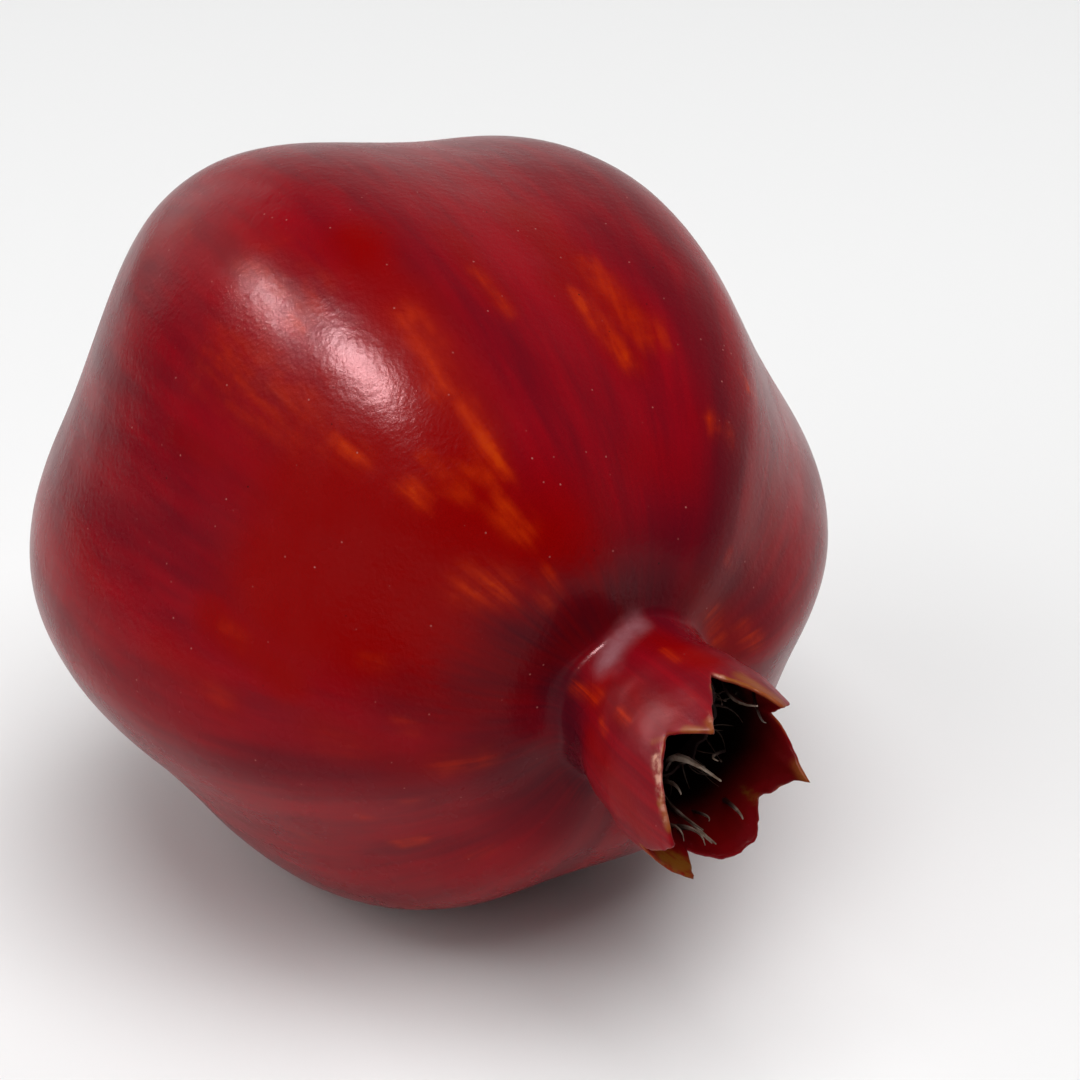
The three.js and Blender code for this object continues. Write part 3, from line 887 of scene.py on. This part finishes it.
class Recipe:
    """A material's node tree, with short ways to add its nodes."""

    def __init__(self, name):
        self.material = bpy.data.materials.new(name)
        self.material.use_nodes = True
        self.nodes = self.material.node_tree.nodes
        self.links = self.material.node_tree.links
        self.surface = self.nodes["Principled BSDF"]

    def plug(self, socket, value):
        if isinstance(value, bpy.types.NodeSocket):
            self.links.new(value, socket)
        elif isinstance(value, tuple) and socket.type == "RGBA":
            socket.default_value = (*value, 1)
        else:
            socket.default_value = value

    def attribute(self, name, output="Fac"):
        node = self.nodes.new("ShaderNodeAttribute")
        node.attribute_name = name
        return node.outputs[output]

    def place(self):
        return self.nodes.new("ShaderNodeTexCoord").outputs["Object"]

    def math(self, operation, a, b=0.5, c=0.5):
        node = self.nodes.new("ShaderNodeMath")
        node.operation = operation
        for socket, value in zip(node.inputs, (a, b, c)):
            self.plug(socket, value)
        return node.outputs[0]

    def stretch(self, vector, factors):
        node = self.nodes.new("ShaderNodeVectorMath")
        node.operation = "MULTIPLY"
        self.plug(node.inputs[0], vector)
        node.inputs[1].default_value = factors
        return node.outputs[0]

    def noise(self, vector, scale, detail=3.0, roughness=0.55):
        node = self.nodes.new("ShaderNodeTexNoise")
        self.plug(node.inputs["Vector"], vector)
        node.inputs["Scale"].default_value = scale
        node.inputs["Detail"].default_value = detail
        node.inputs["Roughness"].default_value = roughness
        return node.outputs["Fac"]

    def cells(self, vector, scale):
        node = self.nodes.new("ShaderNodeTexVoronoi")
        self.plug(node.inputs["Vector"], vector)
        node.inputs["Scale"].default_value = scale
        return node.outputs["Distance"], node.outputs["Color"]

    def ramp(self, value, low, high, to_low=0.0, to_high=1.0):
        node = self.nodes.new("ShaderNodeMapRange")
        node.interpolation_type = "SMOOTHSTEP"
        for socket, number in zip(node.inputs, (value, low, high, to_low, to_high)):
            self.plug(socket, number)
        return node.outputs[0]

    def blend(self, share, a, b):
        node = self.nodes.new("ShaderNodeMix")
        node.data_type = "RGBA"
        self.plug(node.inputs["Factor"], share)
        self.plug(node.inputs[6], a)
        self.plug(node.inputs[7], b)
        return node.outputs[2]

    def bump(self, height, distance, normal=None):
        node = self.nodes.new("ShaderNodeBump")
        self.plug(node.inputs["Height"], height)
        node.inputs["Distance"].default_value = distance
        if normal:
            self.plug(node.inputs["Normal"], normal)
        return node.outputs[0]

    def mixture(self, first, second, second_share):
        """Two patterns added up in shares that make one."""
        return self.math("MULTIPLY_ADD", second, second_share, self.math("MULTIPLY", first, 1 - second_share))

    def varied(self, layer, pattern, swing):
        """A painted layer, stronger and weaker by a pattern that runs from 0 to 1 round 0.5."""
        strength = self.math("MULTIPLY_ADD", pattern, swing, 1 - swing / 2)
        return self.math("MULTIPLY", self.attribute(layer), strength)

    def finish(self, **sockets):
        for name, value in sockets.items():
            self.plug(self.surface.inputs[name.replace("_", " ")], value)
        return self.material


def skin_colour(recipe, place):
    """Crimson skin with darker and scarlet streaks along the meridians, painted shade round the crown, and
    orange dabs with a painted glow beside the highlights.
    """
    meridian = recipe.attribute("meridian", "Vector")
    streaks = recipe.noise(recipe.stretch(meridian, BROAD_STREAKS), scale=1.0)
    fine_streaks = recipe.noise(recipe.stretch(meridian, FINE_STREAKS), scale=1.0)
    brush = recipe.noise(recipe.stretch(meridian, BRUSH_HAIRS), scale=1.0, detail=2.0, roughness=0.5)
    flecks = recipe.noise(place, scale=600.0, detail=4.0, roughness=0.6)
    clouds = recipe.noise(place, scale=75.0)
    mottle = recipe.mixture(streaks, fine_streaks, second_share=0.3)
    colour = recipe.blend(recipe.ramp(mottle, low=0.3, high=0.7), MAROON, CRIMSON)
    scarlet = recipe.varied("scarlet_marks", clouds, swing=0.9)
    colour = recipe.blend(recipe.ramp(scarlet, low=0.1, high=0.85), colour, SCARLET)
    # Darker purple streaks of the rind, deepened into painted shade round the crown's foot and on its tube.
    dark_and_shade = recipe.varied("dark_and_shade_marks", fine_streaks, swing=1.0)
    colour = recipe.blend(recipe.ramp(dark_and_shade, low=0.05, high=1.0, to_high=0.85), colour, DARK_PURPLE_AND_SHADE)
    dabs = recipe.ramp(recipe.mixture(brush, flecks, second_share=0.3), low=0.33, high=0.67)
    # Orange dabs, and on two broad faint marks a painted glow beside the highlights.
    orange = recipe.varied("orange_marks", dabs, swing=1.0)
    colour = recipe.blend(recipe.ramp(orange, low=0.05, high=1.5), colour, ORANGE)
    return recipe.blend(recipe.ramp(orange, low=0.8, high=1.5, to_high=0.5), colour, AMBER)


def dry_places(recipe, colour, place):
    """Painted sheen on the tube, dry edges and painted highlights on the sepals, painted shade darkening the
    cup's wall, and the scar round the stalk.
    """
    patches = recipe.noise(place, scale=420.0)
    flakes = recipe.ramp(recipe.noise(place, scale=1100.0), low=0.3, high=0.7)
    spells = recipe.noise(place, scale=170.0, detail=2.0)
    ragged = recipe.math("MULTIPLY_ADD", patches, RAGGED_BY_PATCHES, recipe.attribute("edge"))
    ragged = recipe.math("MULTIPLY_ADD", spells, RAGGED_BY_SPELLS, ragged)
    outer = recipe.math("MULTIPLY_ADD", recipe.attribute("lip"), -LIP_FRESHNESS, 1.0)
    # Painted sheen: a pale reflection laid on the tube as colour.
    sheen = recipe.varied("sheen_marks", patches, swing=1.4)
    colour = recipe.blend(recipe.ramp(sheen, low=0.1, high=1.2), colour, PAINTED_SHEEN)
    colour = recipe.blend(recipe.attribute("inside"), colour, CUP_MAROON)
    colour = recipe.blend(recipe.attribute("lip"), colour, CUP_MAROON)
    olive = recipe.varied("olive_marks", flakes, swing=1.2)
    colour = recipe.blend(recipe.ramp(olive, low=0.1, high=1.5), colour, SEPAL_OLIVE)
    dry_rim = recipe.math("MULTIPLY", recipe.ramp(ragged, *DRY_RIM), outer)
    colour = recipe.blend(dry_rim, colour, RIM_TAN)
    tan = recipe.varied("tan_marks", patches, swing=1.4)
    colour = recipe.blend(recipe.ramp(tan, low=0.1, high=1.1), colour, RIM_TAN)
    # Painted highlight along the outer side of the sepals' edges.
    cream_glint = recipe.varied("cream_glint_marks", flakes, swing=1.6)
    cream_glint = recipe.math("MULTIPLY", recipe.ramp(cream_glint, low=0.0, high=1.3), outer)
    colour = recipe.blend(cream_glint, colour, RIM_GLINT_CREAM)
    # Painted shade deep in the cup.
    colour = recipe.blend(recipe.attribute("cup_shade"), colour, CUP_SHADE_BLACK)
    scar = recipe.varied("stalk_scar", patches, swing=1.0)
    return recipe.blend(recipe.ramp(scar, low=0.1, high=0.8), colour, SCAR_BROWN)


def add_specks(recipe, colour, place):
    """Tiny pale and dark dots, each in only some cells of a fine pattern."""
    for scale, size, share, tint in SPECKS:
        distance, cell = recipe.cells(place, scale)
        dot = recipe.ramp(distance, low=size, high=size * SPECK_CORE)
        chosen = recipe.ramp(cell, low=share, high=share / 2)
        colour = recipe.blend(recipe.math("MULTIPLY", dot, chosen), colour, tint)
    return colour


def rind_material():
    recipe = Recipe("waxy_red_rind")
    place = recipe.place()
    colour = add_specks(recipe, skin_colour(recipe, place), place)
    colour = dry_places(recipe, colour, place)
    dents = recipe.noise(place, scale=130.0, detail=2.0)
    pores = recipe.noise(place, scale=1600.0, detail=2.0, roughness=0.6)
    bump = recipe.bump(pores, PORE_DEPTH, recipe.bump(dents, DENT_DEPTH))
    wear = recipe.noise(place, scale=140.0, detail=4.0)
    roughness = recipe.ramp(wear, 0.3, 0.7, *BODY_ROUGHNESS)
    roughness = recipe.blend(recipe.attribute("crown"), roughness, CROWN_ROUGHNESS)
    return recipe.finish(
        Base_Color=colour,
        Roughness=roughness,
        Normal=bump,
        Specular_IOR_Level=GLOSS,
        Specular_Tint=GLOSS_TINT,
    )


def stamen_material():
    recipe = Recipe("dried_filament")
    place = recipe.place()
    patches = recipe.noise(place, scale=700.0, detail=4.0)
    fibres = recipe.noise(place, scale=4000.0, detail=2.0)
    colour = recipe.blend(recipe.ramp(patches, low=0.35, high=0.7), FILAMENT_DARK, FILAMENT_PALE)
    # Painted shade: less pale parts fade to near black deep in the cup.
    colour = recipe.blend(recipe.attribute("paleness"), FILAMENT_SHADE, colour)
    return recipe.finish(Base_Color=colour, Roughness=0.75, Normal=recipe.bump(fibres, FIBRE_DEPTH))


def stub_material():
    recipe = Recipe("woody_stalk_bark")
    place = recipe.place()
    grain = recipe.noise(recipe.stretch(place, GRAIN_STRETCH), scale=2200.0, detail=4.0)
    patches = recipe.noise(place, scale=500.0, detail=4.0)
    share = recipe.mixture(patches, grain, second_share=0.6)
    colour = recipe.blend(recipe.ramp(share, low=0.35, high=0.62), BARK_DARK, BARK_PALE)
    return recipe.finish(Base_Color=colour, Roughness=0.8, Normal=recipe.bump(grain, GRAIN_DEPTH))


def dress(piece, material, node):
    piece.data.materials.clear()
    piece.data.materials.append(material)
    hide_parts(node)
    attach(piece, "root")


def build_fruit():
    piece = copy_of_node("fruit", "fruit_rind")
    crease_sepals(piece, shape_crown(piece))
    apply_modifier(piece, "SUBSURF", levels=SUBDIVISIONS, render_levels=SUBDIVISIONS)
    bpy.ops.object.shade_smooth()
    roughen_fruit(piece)
    paint_fruit(piece)
    dress(piece, rind_material(), "fruit")
    return piece


# Stage

def add_lamp(name, place, towards, size, power):
    """A rectangular lamp at a place, that shines back along the direction towards it."""
    lamp = bpy.data.objects.new(name, bpy.data.lights.new(name, "AREA"))
    bpy.context.scene.collection.objects.link(lamp)
    lamp.data.shape = "RECTANGLE"
    lamp.data.size, lamp.data.size_y = size
    lamp.data.energy = power
    lamp.location = place
    lamp.rotation_euler = towards.to_track_quat("Z", "Y").to_euler()
    return lamp


def add_window(name, piece, pixel, distance, size, power):
    """A pane that only shows in the rind's gloss, placed so that it does at a pixel of the picture."""
    point, normal = seen_at(piece, pixel)
    to_view = (VIEW_POINT - point).normalized()
    towards = normal * (2 * normal.dot(to_view)) - to_view
    lamp = add_lamp(name, point + towards * distance, towards, size, power)
    lamp.visible_diffuse = False


def add_soft_light(name, way, distance, size, power):
    """A broad soft light whose own reflection stays out of the gloss."""
    towards = VIEW_RIGHT * way[0] + VIEW_UP * way[1] + VIEW_BACK * way[2]
    lamp = add_lamp(name, Vector(MIDDLE) + towards * distance, towards, (size, size), power)
    lamp.visible_glossy = False


def add_floor():
    bpy.ops.object.select_all(action="DESELECT")
    bpy.ops.mesh.primitive_plane_add(size=FLOOR_SIZE)
    floor = bpy.context.object
    floor.name = "floor"
    recipe = Recipe("pale_floor")
    floor.data.materials.append(recipe.finish(Base_Color=FLOOR_COLOUR, Roughness=FLOOR_ROUGHNESS))


def add_room():
    """Pale surroundings that are darker on the photographer's side of the room, and a little to its left."""
    world = bpy.data.worlds.new("studio")
    bpy.context.scene.world = world
    world.use_nodes = True
    nodes, links = world.node_tree.nodes, world.node_tree.links
    where = nodes.new("ShaderNodeTexCoord")
    facing = nodes.new("ShaderNodeVectorMath")
    facing.operation = "DOT_PRODUCT"
    facing.inputs[1].default_value = (VIEW_BACK - VIEW_RIGHT * ROOM_DARK_LEAN).normalized()
    links.new(where.outputs["Generated"], facing.inputs[0])
    fade = nodes.new("ShaderNodeMapRange")
    fade.interpolation_type = "SMOOTHSTEP"
    for socket, value in zip(fade.inputs[1:5], (*ROOM_FADE, ROOM_BRIGHT, ROOM_DARK)):
        socket.default_value = value
    links.new(facing.outputs["Value"], fade.inputs[0])
    direct = nodes.new("ShaderNodeLightPath")
    seen = nodes.new("ShaderNodeMix")
    links.new(direct.outputs["Is Camera Ray"], seen.inputs["Factor"])
    links.new(fade.outputs[0], seen.inputs[2])
    seen.inputs[3].default_value = ROOM_SEEN
    links.new(seen.outputs[0], nodes["Background"].inputs["Strength"])
    nodes["Background"].inputs["Color"].default_value = (1, 1, 1, 1)


bpy.context.scene.view_settings.view_transform = "Standard"
add_camera()
fruit = build_fruit()
build_stamens()
build_stub()
for window_name, window in WINDOWS.items():
    add_window(window_name, fruit, **window)
for light_name, soft_light in SOFT_LIGHTS.items():
    add_soft_light(light_name, **soft_light)
add_floor()
add_room()
